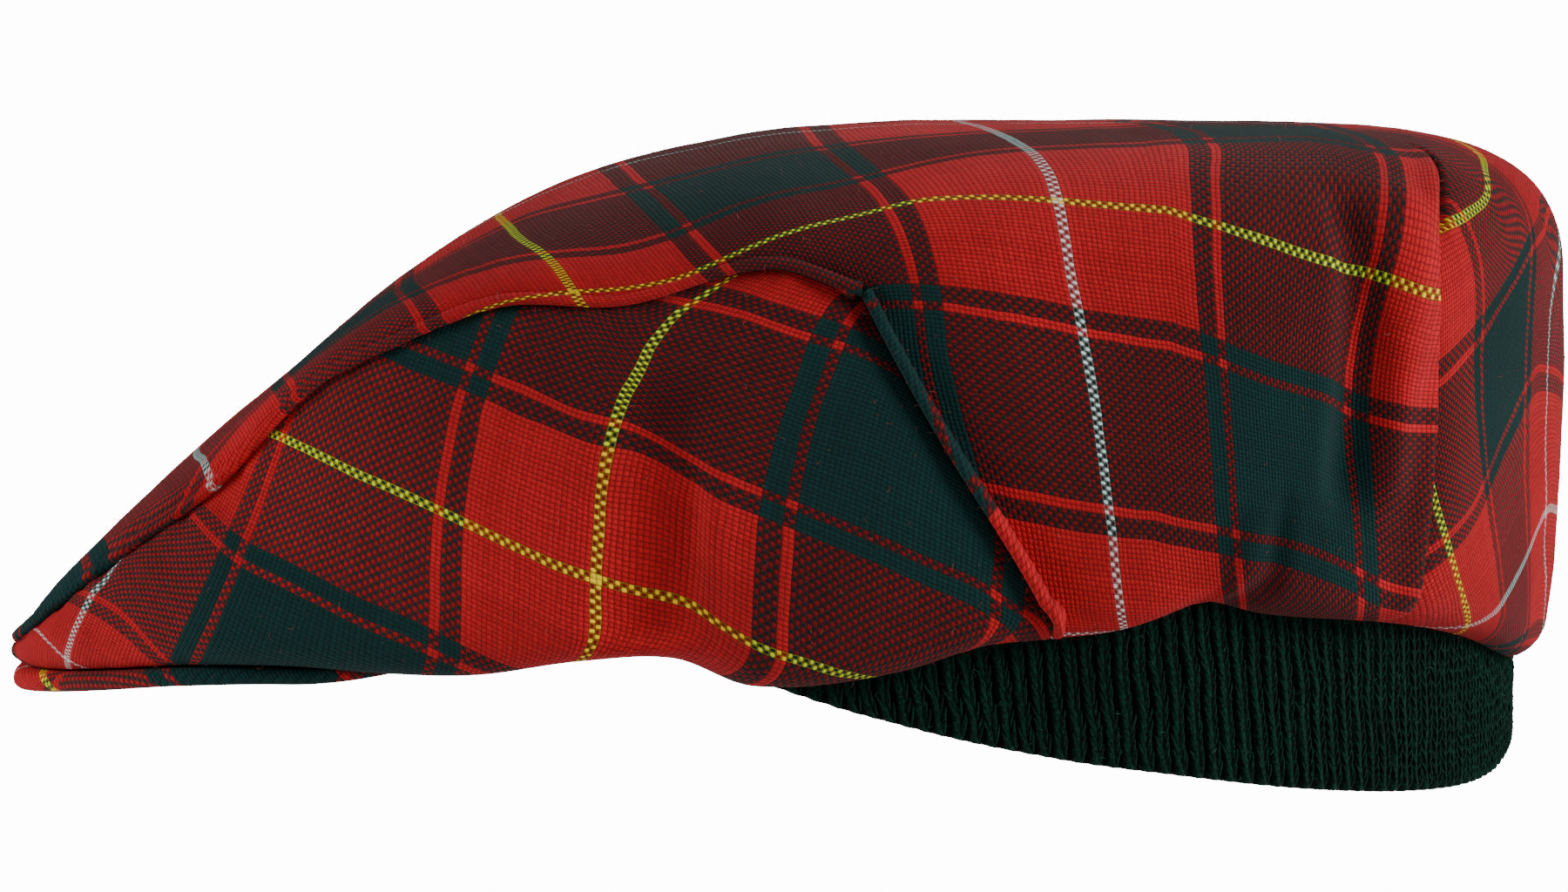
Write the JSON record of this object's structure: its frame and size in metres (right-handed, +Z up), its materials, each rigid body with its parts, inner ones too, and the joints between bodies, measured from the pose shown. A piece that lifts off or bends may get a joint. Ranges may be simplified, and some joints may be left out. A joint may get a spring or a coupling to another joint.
{
  "type": "flat cap",
  "caption": "Duckbill flat cap in tartan cloth with inset side panels, a short peak and a knitted ear band folded down below the hem.",
  "frame": {"origin": "underside of the crown on the centre line, where the top of the head bears", "axes": "+Z up, -Y towards the tip of the peak, +X towards the wearer's left"},
  "size_m": [0.1754, 0.274, 0.1121],
  "materials": {
    "tartan_cloth": "plain-woven wool tartan, red and dark green with fine yellow and white lines",
    "rib_knit": "dark green rib knit, slightly fuzzy"
  },
  "bodies": {
    "root": {"crown_panel": "tartan_cloth", "side_panel_left": "tartan_cloth", "side_panel_right": "tartan_cloth", "peak": "tartan_cloth", "ear_band": "rib_knit"}
  },
  "joints": []
}
